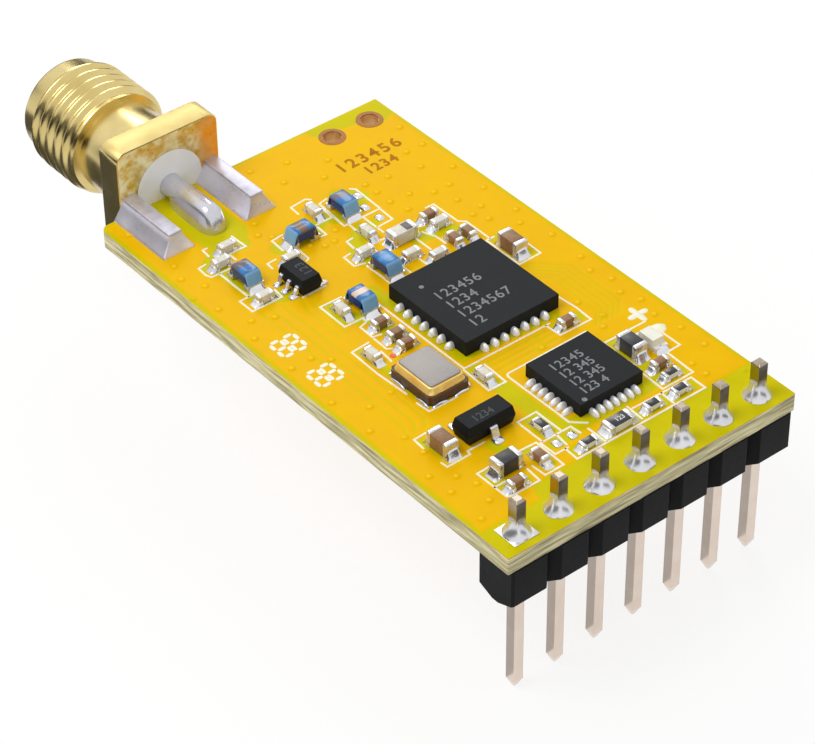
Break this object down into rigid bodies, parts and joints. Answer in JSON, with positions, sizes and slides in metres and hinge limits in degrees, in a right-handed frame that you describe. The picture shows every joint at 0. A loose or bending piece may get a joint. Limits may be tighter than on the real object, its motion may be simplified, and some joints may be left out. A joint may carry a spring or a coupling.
{
  "type": "radio transceiver module",
  "caption": "Small circuit board with surface-mount radio parts, a pin header under one end and a threaded coax jack soldered on the other end's edge.",
  "frame": {"origin": "centre of the pin row on the underside of the header housing, where it seats on a host board or socket", "axes": "+Y along the board from the header to the coax jack, +X along the pin row to the right, +Z out of the board's component side"},
  "size_m": [0.0182, 0.042, 0.0137],
  "materials": {
    "solder_mask": "semi-gloss solder mask over copper and glass laminate",
    "copper_plating": "copper plating, tarnished",
    "solder": "bright solder",
    "header_plastic": "moulded black polyester",
    "pin_plate": "thin pale gold flash",
    "gold_plate": "gold-plated brass",
    "fluoropolymer": "white fluoropolymer",
    "mould_compound": "epoxy mould compound",
    "terminal_plate": "matt tin plate",
    "dark_ceramic": "dark brown ceramic",
    "lid_metal": "nickel-plated lid",
    "cream_ceramic": "cream ceramic",
    "brown_ceramic": "brown ceramic",
    "black_ceramic": "dark grey ferrite",
    "resistor_glass": "black glaze on white ceramic",
    "copper_wire": "enamelled copper wire",
    "blue_resin": "blue resin",
    "lamp_white": "white laminate",
    "lamp_clear": "clear epoxy"
  },
  "bodies": {
    "root": {"antenna_filter": "cream_ceramic", "capacitor_01": "cream_ceramic", "capacitor_02": "cream_ceramic", "capacitor_03": "cream_ceramic", "capacitor_04": "cream_ceramic", "capacitor_05": "cream_ceramic", "capacitor_06": "cream_ceramic", "capacitor_07": "cream_ceramic", "capacitor_08": "cream_ceramic", "capacitor_09": "cream_ceramic", "capacitor_10": "cream_ceramic", "capacitor_11": "cream_ceramic", "capacitor_12": "cream_ceramic", "capacitor_13": "cream_ceramic", "capacitor_14": "brown_ceramic", "capacitor_15": "brown_ceramic", "capacitor_16": "brown_ceramic", "capacitor_17": "brown_ceramic", "capacitor_18": "brown_ceramic", "capacitor_19": "brown_ceramic", "capacitor_20": "brown_ceramic", "capacitor_21": "brown_ceramic", "capacitor_22": "brown_ceramic", "capacitor_23": "brown_ceramic", "capacitor_24": "brown_ceramic", "capacitor_25": "brown_ceramic", "chip_resistors": "resistor_glass", "circuit_board": "solder_mask", "coax_body": "gold_plate", "coax_contact": "gold_plate", "coax_insulator": "fluoropolymer", "coax_solder": "solder", "coded_resistor": "resistor_glass", "component_solder": "solder", "controller_body": "mould_compound", "controller_terminals": "terminal_plate", "crystal_base": "dark_ceramic", "crystal_lid": "lid_metal", "crystal_seal_ring": "gold_plate", "header_housing": "header_plastic", "header_pins": "pin_plate", "header_solder": "solder", "hole_eyelets": "copper_plating", "indicator_ferrite": "black_ceramic", "inductor_cores": "terminal_plate", "inductor_covers": "blue_resin", "inductor_windings": "copper_wire", "led_base": "lamp_white", "led_lens": "lamp_clear", "regulator_body": "mould_compound", "regulator_leads": "terminal_plate", "rf_switch_body": "mould_compound", "rf_switch_leads": "terminal_plate", "supply_ferrite": "black_ceramic", "transceiver_body": "mould_compound", "transceiver_terminals": "terminal_plate"}
  },
  "joints": []
}
